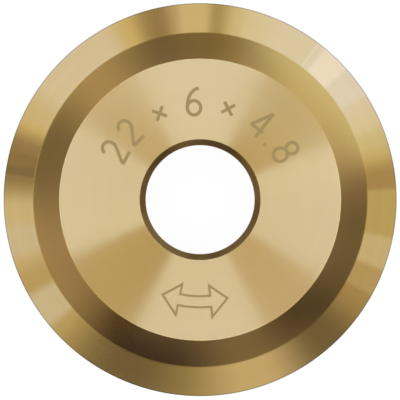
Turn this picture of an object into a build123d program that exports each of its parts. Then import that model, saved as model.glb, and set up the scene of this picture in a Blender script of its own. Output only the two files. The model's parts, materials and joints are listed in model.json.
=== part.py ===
from build123d import *
from math import radians, tan
import os

# A scoring wheel for a tile cutter: one sintered carbide disc, ground all over
# and then coated. The axle runs along Z, the origin is the centre of the wheel,
# and the cutting edge lies in the XY plane. From the axle outwards each side has
# a chamfered bore, a flat face, a sloping shoulder and the bevel that is ground
# to the cutting edge. Both sides are alike. Sizes are in millimetres and degrees.

# Disc
WHEEL_DIAMETER = 22.0  # over the cutting edge
HUB_WIDTH = 4.8  # from one flat face to the other
SHOULDER_RUN = 1.49  # of the sloping shoulder, measured along the radius

# Cutting edge
BEVEL_RUN = 1.66  # of each ground bevel, measured along the radius
EDGE_ANGLE = 84.0  # included angle between the two bevels
EDGE_LAND = 0.06  # width of the honed land that blunts the edge

# Bore
AXLE_DIAMETER = 6.0  # of the pin that the wheel turns on
AXLE_PLAY = 0.1  # running clearance of the bore over the pin, on the diameter
BORE_CHAMFER = 0.33  # at both mouths of the bore

# Rounding that grinding and coating leave on the crests
FACE_ROUND = 0.12  # radius where the flat face meets the shoulder
SHOULDER_ROUND = 0.3  # radius where the shoulder meets the bevel

# Worked out from the sizes above
edge_radius = WHEEL_DIAMETER / 2
shoulder_radius = edge_radius - BEVEL_RUN
face_radius = shoulder_radius - SHOULDER_RUN
bore_radius = (AXLE_DIAMETER + AXLE_PLAY) / 2
hub_height = HUB_WIDTH / 2
land_height = EDGE_LAND / 2
bevel_height = land_height + BEVEL_RUN * tan(radians(EDGE_ANGLE / 2))


# The wheel is its section, turned once round the axle
with BuildPart() as cutter_wheel:
    with BuildSketch(Plane.XZ) as section:
        with BuildLine() as upper_outline:
            Polyline(
                (bore_radius, 0),
                (bore_radius, hub_height),
                (face_radius, hub_height),
                (shoulder_radius, bevel_height),
                (edge_radius, land_height),
                (edge_radius, 0),
                close=True,
            )
        make_face()
        mirror(about=Plane.XZ)

        # The corners stand in columns, from the bore mouths out to the cutting edge.
        # They are broken from the outside in, so that each column keeps its number.
        fillet(section.vertices().group_by(Axis.X)[2], radius=SHOULDER_ROUND)
        fillet(section.vertices().group_by(Axis.X)[1], radius=FACE_ROUND)
        chamfer(section.vertices().group_by(Axis.X)[0], length=BORE_CHAMFER)
    revolve(axis=Axis.Z)

cutter_wheel.part.label = "cutter_wheel"

os.makedirs("parts", exist_ok=True)
export_step(cutter_wheel.part, "parts/cutter_wheel.step")
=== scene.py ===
import json
from functools import partial
from math import cos, pi, radians, sin, tan
from typing import NamedTuple

import bpy
import numpy as np
from bpy.props import FloatProperty, FloatVectorProperty, IntProperty, PointerProperty, StringProperty
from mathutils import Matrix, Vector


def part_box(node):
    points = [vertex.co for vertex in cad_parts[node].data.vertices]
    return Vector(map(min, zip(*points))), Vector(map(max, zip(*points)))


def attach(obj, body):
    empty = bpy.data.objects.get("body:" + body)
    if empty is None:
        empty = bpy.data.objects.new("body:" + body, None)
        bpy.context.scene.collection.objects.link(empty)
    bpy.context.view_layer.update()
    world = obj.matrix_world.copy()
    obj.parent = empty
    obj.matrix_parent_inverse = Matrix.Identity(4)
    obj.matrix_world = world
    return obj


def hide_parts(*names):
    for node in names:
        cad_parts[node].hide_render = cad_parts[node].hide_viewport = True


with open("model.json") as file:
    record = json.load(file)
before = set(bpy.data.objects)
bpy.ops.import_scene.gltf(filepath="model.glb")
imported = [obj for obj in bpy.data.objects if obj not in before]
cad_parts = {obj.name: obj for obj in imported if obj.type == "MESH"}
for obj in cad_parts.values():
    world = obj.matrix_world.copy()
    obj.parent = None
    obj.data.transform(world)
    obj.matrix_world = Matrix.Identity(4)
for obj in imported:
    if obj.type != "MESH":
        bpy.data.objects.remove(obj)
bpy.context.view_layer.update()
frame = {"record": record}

# The looks of a scoring wheel for a tile cutter: one carbide disc, ground all over
# and coated in gold-coloured titanium nitride, lying on its flat face. Lengths are
# in metres. The axle runs along Z and the cutting edge lies in the XY plane.

bl_info = {
    "name": "Tile cutter wheel",
    "version": (1, 0, 0),
    "blender": (4, 5, 0),
    "location": "View3D > Sidebar > Tile wheel",
    "description": "Makes a coated scoring wheel, the figures marked on it and a studio to show it in",
    "category": "Add Mesh",
}

MM = 0.001
WHEEL_NODE = "cutter_wheel"
WHEEL_BODY = "root"
QUARTER_TURN = 0.25  # as a shader counts turns
NOISE_MIDDLE = 0.5  # of the values that a noise texture takes
BOW_STEP = 9  # degrees between the points of a figure's round strokes
BAR_LEVELS = 3  # heights that the crossing bars of a figure take in turn
FLOOR_POINTS = 9  # along each side of the floor
SOFTBOX_COLUMNS = 33  # of points, from one side of a softbox to the other
SOFTBOX_ROWS = 5  # of points, from its lower edge to its upper

wheel_low, wheel_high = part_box(WHEEL_NODE)
axle_mount = next(mount for mount in frame["record"]["mounts"] if mount["name"] == "axle_bore")


def offset_setting(name, description, default, **limits):
    """A property that holds a length in metres, which may be negative unless limits say otherwise."""
    return FloatProperty(
        name=name,
        description=description,
        default=default,
        precision=6,
        subtype="DISTANCE",
        unit="LENGTH",
        **limits,
    )


def length_setting(name, description, default):
    """A property that holds a length in metres."""
    return offset_setting(name, description, default, min=0)


def angle_setting(name, description, default):
    """A property that holds an angle in radians."""
    return FloatProperty(
        name=name,
        description=description,
        default=default,
        subtype="ANGLE",
        unit="ROTATION",
    )


def colour_setting(name, description, default):
    """A property that holds a linear colour."""
    return FloatVectorProperty(
        name=name,
        description=description,
        default=default,
        min=0,
        max=1,
        subtype="COLOR",
    )


def share_setting(name, description, default):
    """A property that holds a number from 0 to 1."""
    return FloatProperty(
        name=name,
        description=description,
        default=default,
        min=0,
        max=1,
        subtype="FACTOR",
    )


def count_setting(name, description, default, least):
    """A property that holds a whole number."""
    return IntProperty(name=name, description=description, default=default, min=least)


class WheelSizes(bpy.types.PropertyGroup):
    """The section of the wheel, which is turned once round the axle."""

    edge_radius: length_setting("Edge radius", "Out to the cutting edge", min(wheel_high.x, wheel_high.y))
    half_width: length_setting("Half width", "From the middle of the wheel to a flat face", wheel_high.z)
    bore_radius: length_setting("Bore radius", "Of the hole for the axle", axle_mount["dims"]["r_mm"] * MM)
    bore_chamfer: length_setting("Bore chamfer", "At both mouths of the bore", 0.33 * MM)
    shoulder_run: length_setting("Shoulder run", "Of the sloping shoulder, along the radius", 1.49 * MM)
    bevel_run: length_setting("Bevel run", "Of each ground bevel, along the radius", 1.66 * MM)
    edge_angle: angle_setting("Edge angle", "Between the two bevels", radians(84))
    edge_land: length_setting("Edge land", "Width of the honed land on the cutting edge", 0.06 * MM)
    brow_round: length_setting("Brow round", "Radius where a flat face meets its shoulder", 0.12 * MM)
    crest_round: length_setting("Crest round", "Radius where a shoulder meets its bevel", 0.80 * MM)
    shoulder_crown: length_setting("Shoulder crown", "Rise of the corner that it bows to", 0.03 * MM)
    crown_round: length_setting("Crown round", "Radius that the shoulder is bowed to", 21 * MM)
    mouth_round: length_setting("Mouth round", "Radius on the corners of the bore chamfer", 0.03 * MM)
    land_round: length_setting("Land round", "Radius on the corners of the honed land", 0.02 * MM)
    turn_steps: count_setting("Turn steps", "Flats that make up one turn", 360, 64)
    run_steps: count_setting("Run steps", "Strips along each straight of the section", 14, 4)
    round_steps: count_setting("Round steps", "Strips along each rounded corner", 6, 2)


class MarkSizes(bpy.types.PropertyGroup):
    """The figures and the arrow that are marked on the upper face."""

    depth: length_setting("Depth", "That the marks stand out of the face", 0.004 * MM)
    figures: StringProperty(
        name="Figures",
        description="Diameter, bore and width in mm",
        default="22 x 6 x 4.8",
    )
    figure_height: length_setting("Figure height", "Of each figure", 1.65 * MM)
    figure_line: length_setting("Figure line", "Width of the lines of the figures", 0.185 * MM)
    figure_gap: length_setting("Figure gap", "Between one figure and the next", 0.50 * MM)
    figure_foot: length_setting("Figure foot", "From the axle to the foot of the figures", 4.65 * MM)
    figure_middle: angle_setting("Figure middle", "Azimuth of the middle of the row", radians(90))
    arrow_radius: length_setting("Arrow radius", "From the axle to the middle of the arrow", 5.7 * MM)
    arrow_middle: angle_setting("Arrow middle", "Azimuth of the middle of the arrow", radians(267))
    arrow_spread: angle_setting("Arrow spread", "From one point of the arrow to the other", radians(37))
    shaft_width: length_setting("Shaft width", "Across the shaft of the arrow", 0.62 * MM)
    head_width: length_setting("Head width", "Across each head of the arrow", 1.75 * MM)
    head_length: length_setting("Head length", "Of each head of the arrow", 0.95 * MM)
    arrow_line: length_setting("Arrow line", "Width of the line round the arrow", 0.125 * MM)
    shaft_points: count_setting("Shaft points", "Along each side of the shaft", 25, 2)


class FinishColours(bpy.types.PropertyGroup):
    """Colours and roughness of the coating and the marks."""

    inner_gold: colour_setting("Inner gold", "Coating on the flat faces, by the bore", (0.70, 0.52, 0.225))
    outer_gold: colour_setting("Outer gold", "Coating on them, by the shoulder", (0.74, 0.57, 0.28))
    # Painted light: a paler gold that makes the faces' dull side look more brightly lit
    painted_light_gold: colour_setting("Dull gold", "Coating on them, where they are dullest", (0.88, 0.69, 0.345))
    shoulder_gold: colour_setting("Shoulder gold", "Coating on the shoulders", (0.68, 0.47, 0.155))
    bevel_gold: colour_setting("Bevel gold", "Coating on the bevels", (0.72, 0.53, 0.235))
    # Painted shade: the bore and its chamfers get a much darker gold than the rest, for the shade in the
    # hole
    painted_shade_bore_gold: colour_setting("Bore gold", "Coating in the bore and on its chamfers", (0.28, 0.177, 0.06))
    land_gold: colour_setting("Land gold", "Coating on the honed land", (0.42, 0.37, 0.25))
    zone_blur: length_setting("Zone blur", "Over which one gold turns into the next", 0.03 * MM)
    ring_contrast: share_setting("Ring contrast", "Of the gold, from ring to ring", 0.10)
    ring_dulling: share_setting("Ring dulling", "Spread of the roughness, from ring to ring", 0.02)
    ring_bump: share_setting("Ring bump", "How much of the rings' depth shows", 0.04)
    ring_depth: length_setting("Ring depth", "Of the rings that grinding left", 0.001 * MM)
    face_roughness: share_setting("Face roughness", "Of the flat faces", 0.29)
    shoulder_roughness: share_setting("Shoulder roughness", "Of the shoulders", 0.125)
    bevel_roughness: share_setting("Bevel roughness", "Of the bevels", 0.10)
    bore_roughness: share_setting("Bore roughness", "Of the bore", 0.31)
    fan_gold: colour_setting("Fan gold", "Of the fans of gloss on the flat faces", (0.73, 0.55, 0.255))
    fan_share: share_setting("Fan share", "Of the flat faces' gloss that is drawn out into fans", 0.65)
    fan_roughness: share_setting("Fan roughness", "Of the fans of gloss", 0.195)
    fan_stretch: share_setting("Fan stretch", "How much longer than wide the fans draw the gloss", 0.84)
    dull_fan_share: share_setting("Dull fan share", "Of the fans where the flat faces are dullest", 0.17)
    dull_roughness: share_setting("Dull roughness", "Of the flat faces where they are dullest", 0.41)
    # The side where the faces are duller, and where their gold is painted paler as painted light
    dull_painted_azimuth: angle_setting("Dull azimuth", "Of the side where they are dullest", radians(78))
    dull_painted_start: length_setting("Dull start", "From the axle to where the dulling starts", 0.4 * MM)
    dull_painted_end: length_setting("Dull end", "From the axle to where it is full", 6.2 * MM)
    mark_grey: colour_setting("Mark grey", "Surface burnt by the marking", (0.455, 0.33, 0.126))
    mark_shade: share_setting("Mark shade", "Of the marks' darkest grains", 0.8)
    mark_metallic: share_setting("Mark metallic", "Of the marks", 0.8)
    mark_roughness: share_setting("Mark roughness", "Of the marks' smoothest grains", 0.46)
    mark_dulling: share_setting("Mark dulling", "Spread of the roughness of their grains", 0.15)
    mark_grain: length_setting("Mark grain", "Size of the marks' grains", MM / 14)


class StudioSettings(bpy.types.PropertyGroup):
    """The floor, the lamps and the camera."""

    floor_radius: length_setting("Floor radius", "Of the floor", 3.0)
    floor_colour: colour_setting("Floor colour", "Of the floor", (0.86, 0.86, 0.86))
    floor_glow: share_setting("Floor glow", "Of its white, that shadows leave alone", 0.95)
    shadow_share: share_setting("Shadow share", "Of the lamps' light that is seen on the floor", 0.13)
    horizon_low: share_setting("Horizon low", "Sine of the height where the floor's white fades", 0.02)
    horizon_high: share_setting("Horizon high", "Sine of the height where the room starts", 0.03)
    room_colour: colour_setting("Room colour", "Of the dim room behind the lamps", (0.030, 0.014, 0.038))
    lamp_distance: length_setting("Lamp distance", "From the wheel to the farthest softbox", 2.0)
    lamp_step: length_setting("Lamp step", "By which each softbox stands nearer than the last", 0.01)
    camera_height: length_setting("Camera height", "From the cutting edge up to the camera", 0.8)
    picture_width: length_setting("Picture width", "That is shown at the cutting edge", 22.385 * MM)
    camera_right: offset_setting("Camera right", "From the axle", -0.007 * MM)
    camera_up: offset_setting("Camera up", "From the axle, towards the top of the picture", -0.020 * MM)


class Softbox(NamedTuple):
    """A lit panel as the wheel sees it. It spans azimuths, from the first anticlockwise to the last, and
    heights above the horizon. Its cover thins out over a margin at both sides. Angles are in degrees."""

    azimuths: tuple
    heights: tuple
    margin: float
    radiance: float
    tint: tuple


# Tints that more than one panel has
ICY = (0.97, 1.12, 1.85)
MOON = (1.0, 1.07, 1.35)
COOL = (0.97, 1.02, 1.22)
NEUTRAL = (1.0, 0.98, 0.92)
STRAW = (1.0, 0.94, 0.60)
CREAM = (1.0, 0.865, 0.55)
WARM = (1.0, 0.90, 0.70)
ROSE = (1.0, 0.85, 0.84)
AMBER = (1.0, 0.80, 0.44)
HONEY = (1.0, 0.72, 0.34)

# Heights of the panels above the horizon
ZENITH = (80, 90)
OVERHEAD = (45, 80)
HALFWAY = (15, 44)
STEEP = (30, 45)
GRAZING = (15, 26)
NARROW = (12, 17)
LOW = (1, 15)

# From the farthest panel to the nearest
SOFTBOXES = (
    # Over the wheel, round the camera, which the flat face shows
    Softbox((0, 360), ZENITH, 0, 0.30, WARM),
    Softbox((0, 360), OVERHEAD, 0, 1.115, (1.0, 0.90, 0.77)),
    Softbox((20, 66), OVERHEAD, 0, 0.915, CREAM),
    Softbox((200, 247), OVERHEAD, 0, 0.915, CREAM),
    Softbox((59, 121), OVERHEAD, 7, 1.52, MOON),
    Softbox((145.5, 207.5), OVERHEAD, 6, 1.505, MOON),
    Softbox((238, 301), OVERHEAD, 9, 1.52, MOON),
    Softbox((322, 387), OVERHEAD, 6, 1.505, MOON),
    # Halfway up, which the shoulder shows
    Softbox((60, 238), HALFWAY, 30, 0.195, ROSE),
    Softbox((300, 396), HALFWAY, 42, 0.16, ROSE),
    Softbox((50, 102), HALFWAY, 25, 0.26, (1.0, 0.80, 0.58)),
    Softbox((-10, 60), HALFWAY, 30, 0.40, (1.0, 0.83, 0.82)),
    Softbox((0, 87), HALFWAY, 40, 0.77, (1.0, 1.01, 1.08)),
    Softbox((104, 158), HALFWAY, 26, 0.525, (1.0, 0.90, 0.84)),
    Softbox((163, 246), HALFWAY, 40, 0.425, ROSE),
    Softbox((228, 284), STEEP, 10, 0.077, (1.0, 0.65, 0.62)),
    Softbox((258, 314), HALFWAY, 27, 0.20, ROSE),
    # A little lower, which only the outer part of the shoulder shows
    Softbox((6, 77), GRAZING, 20, 0.925, (1.0, 1.14, 1.29)),
    Softbox((172, 230), GRAZING, 26, 0.50, ROSE),
    Softbox((280, 322), GRAZING, 14, 0.19, ROSE),
    Softbox((272, 306), GRAZING, 14, 0.27, ROSE),
    # Close to the horizon, which the bevel shows
    Softbox((0, 360), LOW, 0, 0.13, (1.0, 0.76, 0.34)),
    Softbox((-10, 90), LOW, 8, 0.47, AMBER),
    Softbox((80, 114), LOW, 8, 0.35, AMBER),
    Softbox((79, 92), LOW, 4, 0.49, STRAW),
    Softbox((150, 182), LOW, 10, 0.29, (1.0, 0.74, 0.40)),
    Softbox((161.5, 173), LOW, 1, 0.30, (1.0, 0.74, 0.36)),
    Softbox((165, 173), LOW, 1.5, 0.235, HONEY),
    Softbox((169, 173), LOW, 1.5, 0.17, HONEY),
    Softbox((173, 190), LOW, 2, 0.34, (1.0, 0.84, 0.50)),
    Softbox((222, 243), LOW, 7, 0.185, (1.0, 0.80, 0.38)),
    Softbox((174, 238), LOW, 18, 0.61, (1.0, 0.88, 0.52)),
    Softbox((196, 226), LOW, 4, 0.62, (1.0, 0.90, 0.60)),
    Softbox((249, 300), LOW, 22, 0.35, (1.0, 0.86, 0.40)),
    Softbox((264, 310), LOW, 20, 0.73, (1.0, 0.91, 0.75)),
    Softbox((314, 369), LOW, 16, 0.46, AMBER),
    Softbox((330, 342), LOW, 1.5, 0.59, (1.0, 0.88, 0.62)),
    Softbox((340, 364), LOW, 1.5, 0.63, (1.0, 0.94, 0.55)),
    Softbox((8.5, 84), LOW, 6, 0.76, STRAW),
    Softbox((13, 83.5), LOW, 5, 0.84, (1.0, 1.01, 0.90)),
    Softbox((19, 79), LOW, 5, 0.96, (0.98, 1.06, 1.22)),
    Softbox((22, 74), LOW, 12, 1.0, (0.98, 1.09, 1.55)),
    Softbox((31, 53.5), LOW, 3, 1.06, ICY),
    Softbox((41, 51), LOW, 1.5, 1.22, ICY),
    Softbox((52, 53.5), LOW, 0.7, 1.12, ICY),
    Softbox((88, 102.5), LOW, 5, 0.60, WARM),
    Softbox((85.3, 98.5), LOW, 3.5, 0.83, (1.0, 0.95, 0.79)),
    Softbox((105, 163.5), LOW, 8, 0.80, STRAW),
    Softbox((138, 158.5), LOW, 5, 0.82, NEUTRAL),
    Softbox((112.5, 152), LOW, 9, 0.95, (0.97, 1.02, 1.32)),
    Softbox((174, 205), LOW, 9, 0.79, NEUTRAL),
    Softbox((186, 199), LOW, 4, 0.82, COOL),
    Softbox((207.5, 222), LOW, 3.5, 0.82, COOL),
    Softbox((338, 349.7), LOW, 2, 0.77, NEUTRAL),
    # A strip that shows as a thin line where the shoulder meets the bevel
    Softbox((130, 200), NARROW, 15, 0.95, NEUTRAL),
)


class Wire:
    """A value that runs through a node tree. Sums of wires and numbers add Math nodes to the tree."""

    def __init__(self, socket):
        self.socket = socket

    @classmethod
    def from_node(cls, tree, kind, settings=None, inputs=None, output=0):
        """Adds a node and returns the wire out of it. The settings are set first. An input that is a wire
        is linked, and any other is set."""
        node = tree.nodes.new(kind)
        for name, value in (settings or {}).items():
            setattr(node, name, value)
        for name, value in (inputs or {}).items():
            if isinstance(value, cls):
                tree.links.new(value.socket, node.inputs[name])
            else:
                node.inputs[name].default_value = value
        return cls(node.outputs[output]) if node.outputs else None

    def beside(self, output):
        """The wire out of another output of the same node."""
        return Wire(self.socket.node.outputs[output])

    def calculate(self, operation, first, second):
        """The wire out of a Math node that works on two wires or numbers."""
        tree = self.socket.id_data
        return Wire.from_node(tree, "ShaderNodeMath", {"operation": operation}, {0: first, 1: second})

    def __add__(self, other):
        return self.calculate("ADD", self, other)

    def __radd__(self, other):
        return self.calculate("ADD", other, self)

    def __sub__(self, other):
        return self.calculate("SUBTRACT", self, other)

    def __rsub__(self, other):
        return self.calculate("SUBTRACT", other, self)

    def __mul__(self, other):
        return self.calculate("MULTIPLY", self, other)

    def __rmul__(self, other):
        return self.calculate("MULTIPLY", other, self)

    def __truediv__(self, other):
        return self.calculate("DIVIDE", self, other)

    def __rtruediv__(self, other):
        return self.calculate("DIVIDE", other, self)

    def __pow__(self, other):
        return self.calculate("POWER", self, other)

    def __rpow__(self, other):
        return self.calculate("POWER", other, self)


def new_finish(name):
    """An empty material, and the function that adds a node to it."""
    material = bpy.data.materials.new(name)
    material.use_nodes = True
    material.node_tree.nodes.clear()
    return material, partial(Wire.from_node, material.node_tree)


def smooth_step(node, value, low, high):
    """0 below low and 1 above high, with a smooth climb between."""
    climb = {"Value": value, "From Min": low, "From Max": high}
    return node("ShaderNodeMapRange", {"interpolation_type": "SMOOTHSTEP"}, climb)


def mix_colours(node, share, first, second):
    """The first colour where share is 0 and the second where it is 1."""
    first, second = (colour if isinstance(colour, Wire) else (*colour, 1) for colour in (first, second))
    return node("ShaderNodeMix", {"data_type": "RGBA"}, {0: share, 6: first, 7: second}, output=2)


def mix_values(share, first, second):
    """The first value where share is 0 and the second where it is 1."""
    return share * (second - first) + first


def ring_noise(node, around, radius, height, rings_per_mm, arcs_per_turn, detail):
    """Noise in rings round the axle: it changes rings_per_mm times in a millimetre of radius or height,
    and arcs_per_turn times in a turn."""
    frequency = rings_per_mm / MM
    reach = arcs_per_turn / (2 * pi)
    place = node(
        "ShaderNodeCombineXYZ",
        inputs={"X": around[0] * reach, "Y": around[1] * reach, "Z": radius * frequency},
    )
    return node(
        "ShaderNodeTexNoise",
        {"noise_dimensions": "4D"},
        {"Vector": place, "W": height * frequency, "Scale": 1, "Detail": detail},
    )


def gold_coating(sizes, colours):
    """Titanium nitride over ground carbide. Each zone of the wheel has its own gold and smoothness, and all
    of them carry the fine rings that the grinding wheel left. The gloss is drawn out across those rings.
    The dark gold in the bore is painted shade, and the paler gold on one side of the faces is painted
    light."""
    material, node = new_finish("gold_coating")
    place = node("ShaderNodeTexCoord", output="Object")
    axes = node("ShaderNodeSeparateXYZ", inputs={"Vector": place})
    x, y, z = (axes.beside(name) for name in "XYZ")
    radius = (x * x + y * y) ** 0.5
    around = (x / radius, y / radius)

    fine_rings = ring_noise(node, around, radius, z, rings_per_mm=9, arcs_per_turn=10, detail=3)
    broad_rings = ring_noise(node, around, radius, z, rings_per_mm=1.6, arcs_per_turn=6, detail=2)

    # Where each zone starts, from the bore outwards
    face_start = sizes.bore_radius + sizes.bore_chamfer
    bevel_start = sizes.edge_radius - sizes.bevel_run
    shoulder_start = bevel_start - sizes.shoulder_run
    blur = colours.zone_blur
    face = smooth_step(node, radius, face_start - blur, face_start)
    shoulder = smooth_step(node, radius, shoulder_start - blur, shoulder_start + blur)
    bevel = smooth_step(node, radius, bevel_start - blur, bevel_start + blur)
    land = smooth_step(node, radius, sizes.edge_radius - 3 * blur, sizes.edge_radius - blur)

    # On one side the faces are a little duller, and their gold is painted paler there as painted light
    towards_dull_painted_side = x * cos(colours.dull_painted_azimuth) + y * sin(colours.dull_painted_azimuth)
    dulling_and_painted_light = smooth_step(node, towards_dull_painted_side, colours.dull_painted_start, colours.dull_painted_end)

    outwards = smooth_step(node, radius, face_start, shoulder_start)
    gold = mix_colours(node, outwards, colours.inner_gold, colours.outer_gold)
    # Painted light: the faces' gold turns paler towards their dull side
    gold = mix_colours(node, dulling_and_painted_light, gold, colours.painted_light_gold)
    # Painted shade: the bore and its chamfers are darkened to a brown gold
    gold = mix_colours(node, face, colours.painted_shade_bore_gold, gold)
    gold = mix_colours(node, shoulder, gold, colours.shoulder_gold)
    gold = mix_colours(node, bevel, gold, colours.bevel_gold)
    gold = mix_colours(node, land, gold, colours.land_gold)
    ring_light = (broad_rings - NOISE_MIDDLE) * colours.ring_contrast + 1
    gold = node("ShaderNodeVectorMath", {"operation": "SCALE"}, {0: gold, "Scale": ring_light})

    face_roughness = mix_values(dulling_and_painted_light, colours.face_roughness, colours.dull_roughness)
    fan_share = mix_values(dulling_and_painted_light, colours.fan_share, colours.dull_fan_share)

    roughness = mix_values(face, colours.bore_roughness, face_roughness)
    roughness = mix_values(shoulder, roughness, colours.shoulder_roughness)
    roughness = mix_values(bevel, roughness, colours.bevel_roughness)
    roughness = roughness + (fine_rings - NOISE_MIDDLE) * colours.ring_dulling

    bump = {"Height": fine_rings, "Strength": colours.ring_bump, "Distance": colours.ring_depth}
    metal = node(
        "ShaderNodeBsdfPrincipled",
        inputs={
            "Base Color": gold,
            "Metallic": 1,
            "Roughness": roughness,
            "Normal": node("ShaderNodeBump", inputs=bump),
            "Anisotropic": 1.0,
            "Anisotropic Rotation": QUARTER_TURN,
        },
    )
    # The flat faces were ground on a turntable, so their gloss is drawn out further still, into fans
    fans = node(
        "ShaderNodeBsdfAnisotropic",
        inputs={
            "Color": (*colours.fan_gold, 1),
            "Roughness": colours.fan_roughness,
            "Anisotropy": colours.fan_stretch,
        },
    )
    flat = face * (1 - shoulder)
    surface = node("ShaderNodeMixShader", inputs={0: flat * fan_share, 1: metal, 2: fans})
    node("ShaderNodeOutputMaterial", inputs={"Surface": surface})
    return material


def mark_finish(colours):
    """The grey-brown, matt surface that marking leaves on the coating."""
    material, node = new_finish("burnt_mark")
    place = node("ShaderNodeTexCoord", output="Object")
    grains = {"Vector": place, "Scale": 1 / colours.mark_grain, "Detail": 2}
    grain = node("ShaderNodeTexNoise", inputs=grains)
    dark = tuple(part * colours.mark_shade for part in colours.mark_grey)
    metal = node(
        "ShaderNodeBsdfPrincipled",
        inputs={
            "Base Color": mix_colours(node, grain, dark, colours.mark_grey),
            "Metallic": colours.mark_metallic,
            "Roughness": grain * colours.mark_dulling + colours.mark_roughness,
        },
    )
    node("ShaderNodeOutputMaterial", inputs={"Surface": metal})
    return material


def floor_finish(studio):
    """Pale floor. The camera, mirrors and glass see it near white, with a share that shadows darken."""
    material, node = new_finish("pale_floor")
    ray = node("ShaderNodeLightPath", output="Is Camera Ray")
    seen = ray + ray.beside("Is Glossy Ray") + ray.beside("Is Transmission Ray")
    plain = node("ShaderNodeBsdfDiffuse", inputs={"Color": (*studio.floor_colour, 1)})
    shaded = tuple(part * studio.shadow_share for part in studio.floor_colour)
    under = node("ShaderNodeBsdfDiffuse", inputs={"Color": (*shaded, 1)})
    glow = node("ShaderNodeEmission", inputs={"Strength": studio.floor_glow})
    white = node("ShaderNodeAddShader", inputs={0: under, 1: glow})
    surface = node("ShaderNodeMixShader", inputs={0: seen, 1: plain, 2: white})
    node("ShaderNodeOutputMaterial", inputs={"Surface": surface})
    return material


def softbox_cloth():
    """The lit cloth of a softbox. Its light and its cover are kept at its points."""
    material, node = new_finish("softbox_cloth")
    glow = node("ShaderNodeAttribute", {"attribute_name": "glow"}, output="Color")
    gap = node("ShaderNodeBsdfTransparent")
    cloth = node("ShaderNodeEmission", inputs={"Color": glow})
    surface = node("ShaderNodeMixShader", inputs={0: glow.beside("Alpha"), 1: gap, 2: cloth})
    node("ShaderNodeOutputMaterial", inputs={"Surface": surface})
    return material


def grid_faces(rows, columns, close_rows=False, close_columns=False):
    """The corner numbers of each cell in a grid of points, turned so that the cells face the side from
    which rows to columns is a left turn. Where rows or columns close, the last joins the first."""
    row, column = np.meshgrid(
        np.arange(rows if close_rows else rows - 1),
        np.arange(columns if close_columns else columns - 1),
        indexing="ij",
    )
    next_row = (row + 1) % rows
    next_column = (column + 1) % columns
    corners = [
        row * columns + column,
        next_row * columns + column,
        next_row * columns + next_column,
        row * columns + next_column,
    ]
    return np.stack(corners, axis=-1).reshape(-1, 4)


def mesh_object(name, points, faces, material, smooth=True):
    """An object at the origin from an array of points and an array of four-cornered faces."""
    mesh = bpy.data.meshes.new(name)
    mesh.vertices.add(len(points))
    mesh.vertices.foreach_set("co", points.astype(np.float32).ravel())
    mesh.loops.add(faces.size)
    mesh.loops.foreach_set("vertex_index", faces.astype(np.int32).ravel())
    mesh.polygons.add(len(faces))
    mesh.polygons.foreach_set("loop_start", np.arange(0, faces.size, 4, dtype=np.int32))
    mesh.polygons.foreach_set("use_smooth", np.full(len(faces), smooth))
    mesh.update(calc_edges=True)
    mesh.materials.append(material)
    if mesh.validate():
        raise RuntimeError(f"the surface of {name} has faces that can't stay")
    made = bpy.data.objects.new(name, mesh)
    bpy.context.collection.objects.link(made)
    return made


def unit(vector):
    """The vector with a length of 1."""
    return vector / np.linalg.norm(vector)


def straight(start, end, steps):
    """Points on a straight line, set closer towards both ends as the cosine of an even angle is."""
    share = (1 - np.cos(np.linspace(0, pi, steps + 1))) / 2
    return start + share[:, None] * (end - start)


def corner_arc(before, corner, after, radius, steps):
    """Points on the arc that rounds a corner. The centre lies on the line that halves the corner, and the
    points turn evenly about it from one touching point to the other."""
    back, ahead = unit(before - corner), unit(after - corner)
    half = np.arccos(back @ ahead) / 2
    centre = corner + unit(back + ahead) * radius / np.sin(half)
    first = corner + back * radius / np.tan(half) - centre
    last = corner + ahead * radius / np.tan(half) - centre
    turn = pi - 2 * half
    share = np.linspace(0, 1, steps + 1)[:, None]
    return centre + (np.sin((1 - share) * turn) * first + np.sin(share * turn) * last) / np.sin(turn)


def rounded_outline(corners, rounds, run_steps, round_steps):
    """Points along the straights between corners, with every corner but the first and the last rounded."""
    stops = [corners[:1]]
    stops += [corner_arc(*corners[i : i + 3], radius, round_steps) for i, radius in enumerate(rounds)]
    stops += [corners[-1:]]
    pieces = [stops[0]]
    for here, ahead in zip(stops, stops[1:]):
        pieces += [straight(here[-1], ahead[0], run_steps)[1:-1], ahead]
    return np.concatenate(pieces)


def wheel_section(sizes, mark_depth):
    """The closed outline of the wheel's section, as radius and height. The upper half runs from the middle
    of the bore over the face to the middle of the cutting edge, and the lower half is its mirror image."""
    bevel_start = sizes.edge_radius - sizes.bevel_run
    shoulder_start = bevel_start - sizes.shoulder_run
    face_height = sizes.half_width - mark_depth
    land_height = sizes.edge_land / 2
    bevel_height = land_height + sizes.bevel_run * tan(sizes.edge_angle / 2)
    crown_radius = (shoulder_start + bevel_start) / 2
    crown_height = (face_height + bevel_height) / 2 + sizes.shoulder_crown
    corners = np.array(
        [
            (sizes.bore_radius, 0),
            (sizes.bore_radius, face_height - sizes.bore_chamfer),
            (sizes.bore_radius + sizes.bore_chamfer, face_height),
            (shoulder_start, face_height),
            (crown_radius, crown_height),
            (bevel_start, bevel_height),
            (sizes.edge_radius, land_height),
            (sizes.edge_radius, 0),
        ]
    )
    rounds = (
        sizes.mouth_round,
        sizes.mouth_round,
        sizes.brow_round,
        sizes.crown_round,
        sizes.crest_round,
        sizes.land_round,
    )
    upper = rounded_outline(corners, rounds, sizes.run_steps, sizes.round_steps)
    lower = upper[-2:0:-1] * (1, -1)
    return np.concatenate([upper, lower])


def bow(centre, reach, start, end):
    """Points on part of an ellipse. A point stands at the centre plus the reach times the cosine and sine
    of an angle that runs evenly from start to end, in degrees."""
    count = 2 + int(abs(end - start) / BOW_STEP)
    angle = np.radians(np.linspace(start, end, count))[:, None]
    return np.array(centre) + np.array(reach) * np.concatenate([np.cos(angle), np.sin(angle)], axis=1)


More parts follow.
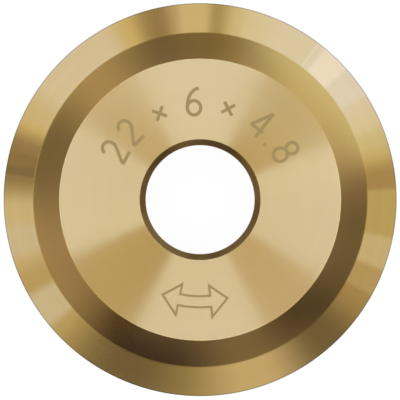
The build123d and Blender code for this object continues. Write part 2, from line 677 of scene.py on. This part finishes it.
def figure_strokes():
    """The width of each figure and the middle lines of its strokes, as shares of its height, from its
    lower left."""
    line = np.array
    # The cross
    rising = line([(0.04, 0.21), (0.42, 0.59)])
    falling = line([(0.04, 0.59), (0.42, 0.21)])
    # The point
    point = line([(0.005, 0.055), (0.115, 0.055)])
    # Two
    hook = np.concatenate([bow((0.27, 0.705), (0.217, 0.242), 165, -38), line([(0.06, 0.09)])])
    foot = line([(0.02, 0.053), (0.51, 0.053)])
    # Four
    slant = line([(0.42, 0.98), (0.06, 0.30)])
    bar = line([(0.01, 0.27), (0.55, 0.27)])
    post = line([(0.42, 1), (0.42, 0)])
    # Six
    loop = bow((0.28, 0.295), (0.227, 0.242), 0, 360)
    stem = bow((0.50, 0.295), (0.447, 0.652), 180, 92)
    # Eight
    eye = bow((0.28, 0.740), (0.190, 0.207), 0, 360)
    belly = bow((0.28, 0.290), (0.227, 0.237), 0, 360)
    return {
        " ": (0.12, ()),
        "x": (0.46, (rising, falling)),
        ".": (0.12, (point,)),
        "2": (0.53, (hook, foot)),
        "4": (0.56, (slant, bar, post)),
        "6": (0.54, (loop, stem)),
        "8": (0.54, (eye, belly)),
    }


def ribbon(path, width, low, high):
    """A flat bar with a rectangular section, carried along a path in the XY plane from its first point to
    its last. At each point the bar is cut along the line that halves the corner. A path that ends where it
    starts is closed. Gives the points and the faces."""
    closed = np.allclose(path[0], path[-1])
    if closed:
        path = path[:-1]
    run = np.roll(path, -1, axis=0) - path
    run /= np.linalg.norm(run, axis=1, keepdims=True)
    before = np.roll(run, 1, axis=0)
    if not closed:
        before[0] = run[0]
        run[-1] = before[-1]
    left, left_before = (np.stack([-way[:, 1], way[:, 0]], axis=1) for way in (run, before))
    mitre = (left + left_before) / (1 + np.sum(left * left_before, axis=1, keepdims=True)) * (width / 2)
    corners = [(path + mitre, low), (path - mitre, low), (path - mitre, high), (path + mitre, high)]
    section = [
        np.concatenate([place, np.full((len(path), 1), height)], axis=1)
        for place, height in corners
    ]
    points = np.stack(section, axis=1).reshape(-1, 3)
    faces = grid_faces(len(path), len(corners), close_rows=closed, close_columns=True)
    if not closed:
        last = len(corners) * (len(path) - 1)
        caps = np.array([(0, 1, 2, 3), (last + 3, last + 2, last + 1, last)])
        faces = np.concatenate([faces, caps])
    return points, faces


def joined(surfaces):
    """Several surfaces as one, from the points and the faces of each."""
    counts = np.cumsum([0] + [len(points) for points, _ in surfaces])
    points = np.concatenate([points for points, _ in surfaces])
    faces = np.concatenate([faces + first for first, (_, faces) in zip(counts, surfaces)])
    return points, faces


class TILEWHEEL_OT_make_wheel(bpy.types.Operator):
    """Turn the wheel's section once round the axle and coat it"""

    bl_idname = "tilewheel.make_wheel"
    bl_label = "Make wheel"

    def execute(self, context):
        sizes = context.scene.wheel_sizes
        section = wheel_section(sizes, context.scene.mark_sizes.depth)
        angle = np.arange(sizes.turn_steps) * (2 * pi / sizes.turn_steps)
        radius, height = section[:, 0, None], section[:, 1, None]
        turned = np.broadcast_arrays(radius * np.cos(angle), radius * np.sin(angle), height)
        points = np.stack(turned, axis=-1)
        faces = grid_faces(len(section), sizes.turn_steps, close_rows=True, close_columns=True)
        coating = gold_coating(sizes, context.scene.finish_colours)
        wheel = mesh_object("ground_wheel", points.reshape(-1, 3), faces, coating)
        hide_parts(WHEEL_NODE)
        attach(wheel, WHEEL_BODY)
        return {"FINISHED"}


class TILEWHEEL_OT_mark_face(bpy.types.Operator):
    """Mark the wheel's size and an arrow on its upper face"""

    bl_idname = "tilewheel.mark_face"
    bl_label = "Mark face"

    def execute(self, context):
        sizes = context.scene.mark_sizes
        top = context.scene.wheel_sizes.half_width
        finish = mark_finish(context.scene.finish_colours)
        figures, arrow = self.figure_paths(sizes), [self.arrow_path(sizes)]
        self.add_mark("size_figures", figures, sizes.figure_line, top, sizes.depth, finish)
        self.add_mark("turning_arrow", arrow, sizes.arrow_line, top, sizes.depth, finish)
        return {"FINISHED"}

    def figure_paths(self, sizes):
        """The strokes of the figures, which stand upright on a circle and read clockwise."""
        strokes = figure_strokes()
        widths = np.array([strokes[figure][0] for figure in sizes.figures]) * sizes.figure_height
        ends = np.cumsum(widths + sizes.figure_gap)
        middles = ends - sizes.figure_gap - widths / 2
        middle_radius = sizes.figure_foot + sizes.figure_height / 2
        azimuths = sizes.figure_middle + ((ends[-1] - sizes.figure_gap) / 2 - middles) / middle_radius
        paths = []
        for figure, azimuth in zip(sizes.figures, azimuths):
            outwards = np.array([np.cos(azimuth), np.sin(azimuth)])
            clockwise = np.array([np.sin(azimuth), -np.cos(azimuth)])
            width, lines = strokes[figure]
            for line in lines:
                across = (line[:, :1] - width / 2) * sizes.figure_height
                up = sizes.figure_foot + line[:, 1:] * sizes.figure_height
                paths.append(across * clockwise + up * outwards)
        return paths

    def arrow_path(self, sizes):
        """The outline of an arrow with a head at both ends, bent round the axle."""
        tip = sizes.arrow_spread / 2
        neck = tip - sizes.head_length / sizes.arrow_radius
        shaft, head = sizes.shaft_width / 2, sizes.head_width / 2
        along = np.linspace(-neck, neck, sizes.shaft_points)
        side = np.stack([along, np.full_like(along, shaft)], axis=1)
        half = np.concatenate([[(-tip, 0), (-neck, head)], side, [(neck, head)]])
        turn, out = np.concatenate([half, -half, half[:1]]).T
        azimuth = sizes.arrow_middle + turn
        radius = sizes.arrow_radius + out
        return np.stack([radius * np.cos(azimuth), radius * np.sin(azimuth)], axis=1)

    def add_mark(self, name, paths, width, top, depth, finish):
        """A piece made of bars along the paths, sunk as deep into the face as the marks stand out of it.
        The bars take turns at a few heights, so that no two faces of crossing bars lie in one plane."""
        drops = [depth / (BAR_LEVELS + 1) * (i % BAR_LEVELS) for i in range(len(paths))]
        bars = [
            ribbon(path, width, top - drop - 2 * depth, top - drop)
            for path, drop in zip(paths, drops)
        ]
        points, faces = joined(bars)
        mark = mesh_object(name, points, faces, finish, smooth=False)
        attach(mark, WHEEL_BODY)


class TILEWHEEL_OT_set_stage(bpy.types.Operator):
    """Lay the floor, stand the softboxes round the wheel and hang the camera over it"""

    bl_idname = "tilewheel.set_stage"
    bl_label = "Set stage"

    def execute(self, context):
        studio = context.scene.studio_settings
        self.lay_floor(studio)
        cloth = softbox_cloth()
        for number, softbox in enumerate(SOFTBOXES, start=1):
            distance = studio.lamp_distance - number * studio.lamp_step
            self.hang_softbox(f"softbox_{number}", softbox, distance, cloth)
        self.dim_room(context.scene, studio)
        self.hang_camera(context.scene, studio)
        return {"FINISHED"}

    def lay_floor(self, studio):
        """A flat square sheet under the wheel."""
        across = np.linspace(-studio.floor_radius, studio.floor_radius, FLOOR_POINTS)
        x, y = np.meshgrid(across, across, indexing="ij")
        points = np.stack([x, y, np.full_like(x, wheel_low.z)], axis=-1)
        faces = grid_faces(FLOOR_POINTS, FLOOR_POINTS)
        floor = mesh_object("floor", points.reshape(-1, 3), faces, floor_finish(studio))

    def hang_softbox(self, name, softbox, distance, cloth):
        """A patch of a sphere about the wheel. Its points stand at even azimuths and heights. Its cover
        climbs from either side over the margin as a smooth step does."""
        azimuth = np.radians(np.linspace(*softbox.azimuths, SOFTBOX_COLUMNS))[:, None]
        height = np.radians(np.linspace(*softbox.heights, SOFTBOX_ROWS))[None, :]
        flat = np.cos(height)
        towards = np.broadcast_arrays(np.cos(azimuth) * flat, np.sin(azimuth) * flat, np.sin(height))
        points = distance * np.stack(towards, axis=-1)
        side = np.degrees(np.minimum(azimuth - azimuth[0], azimuth[-1] - azimuth))
        climb = np.clip(side / softbox.margin, 0, 1) if softbox.margin else np.ones_like(side)
        glow = np.empty((SOFTBOX_COLUMNS, SOFTBOX_ROWS, 4), np.float32)
        glow[..., :3] = softbox.radiance * np.array(softbox.tint)
        glow[..., 3] = climb**2 * (3 - 2 * climb)
        faces = grid_faces(SOFTBOX_COLUMNS, SOFTBOX_ROWS)
        panel = mesh_object(name, points.reshape(-1, 3), faces, cloth)
        colours = panel.data.color_attributes.new("glow", "FLOAT_COLOR", "POINT")
        colours.data.foreach_set("color", glow.ravel())
        panel.visible_camera = False

    def dim_room(self, scene, studio):
        """The dim room behind the lamps, and the pale floor that runs on to the horizon."""
        scene.world = bpy.data.worlds.new("room")
        scene.world.use_nodes = True
        scene.world.node_tree.nodes.clear()
        node = partial(Wire.from_node, scene.world.node_tree)
        towards = node("ShaderNodeTexCoord", output="Generated")
        up = node("ShaderNodeSeparateXYZ", inputs={"Vector": towards}, output="Z")
        above = smooth_step(node, up, studio.horizon_low, studio.horizon_high)
        room = mix_colours(node, above, (1, 1, 1), studio.room_colour)
        background = node("ShaderNodeBackground", inputs={"Color": room})
        node("ShaderNodeOutputWorld", inputs={"Surface": background})

    def hang_camera(self, scene, studio):
        """A camera straight above the wheel, whose lens shows the picture's width at the cutting edge."""
        eye = bpy.data.cameras.new("camera")
        eye.lens = eye.sensor_width * studio.camera_height / studio.picture_width
        camera = bpy.data.objects.new("camera", eye)
        camera.location = (studio.camera_right, studio.camera_up, studio.camera_height)
        bpy.context.collection.objects.link(camera)
        scene.camera = camera
        scene.view_settings.view_transform = "Standard"


class TILEWHEEL_PT_panel(bpy.types.Panel):
    """Lists the steps that make the wheel and its stage, with their settings"""

    bl_idname = "TILEWHEEL_PT_panel"
    bl_label = "Tile cutter wheel"
    bl_space_type = "VIEW_3D"
    bl_region_type = "UI"
    bl_category = "Tile wheel"

    def draw(self, context):
        for operator, group in STEPS:
            box = self.layout.box()
            box.operator(operator.bl_idname)
            settings = getattr(context.scene, group)
            for name in settings.bl_rna.properties.keys():
                if name not in ("rna_type", "name"):
                    box.prop(settings, name)


SETTINGS = {
    "wheel_sizes": WheelSizes,
    "mark_sizes": MarkSizes,
    "finish_colours": FinishColours,
    "studio_settings": StudioSettings,
}
STEPS = (
    (TILEWHEEL_OT_make_wheel, "wheel_sizes"),
    (TILEWHEEL_OT_mark_face, "mark_sizes"),
    (TILEWHEEL_OT_set_stage, "studio_settings"),
)
CLASSES = (*SETTINGS.values(), *(operator for operator, _ in STEPS), TILEWHEEL_PT_panel)


def register():
    for item in CLASSES:
        bpy.utils.register_class(item)
    for name, group in SETTINGS.items():
        setattr(bpy.types.Scene, name, PointerProperty(type=group))


def unregister():
    for name in SETTINGS:
        delattr(bpy.types.Scene, name)
    for item in reversed(CLASSES):
        bpy.utils.unregister_class(item)


def main():
    register()
    bpy.ops.tilewheel.make_wheel()
    bpy.ops.tilewheel.mark_face()
    bpy.ops.tilewheel.set_stage()


if __name__ == "__main__":
    main()
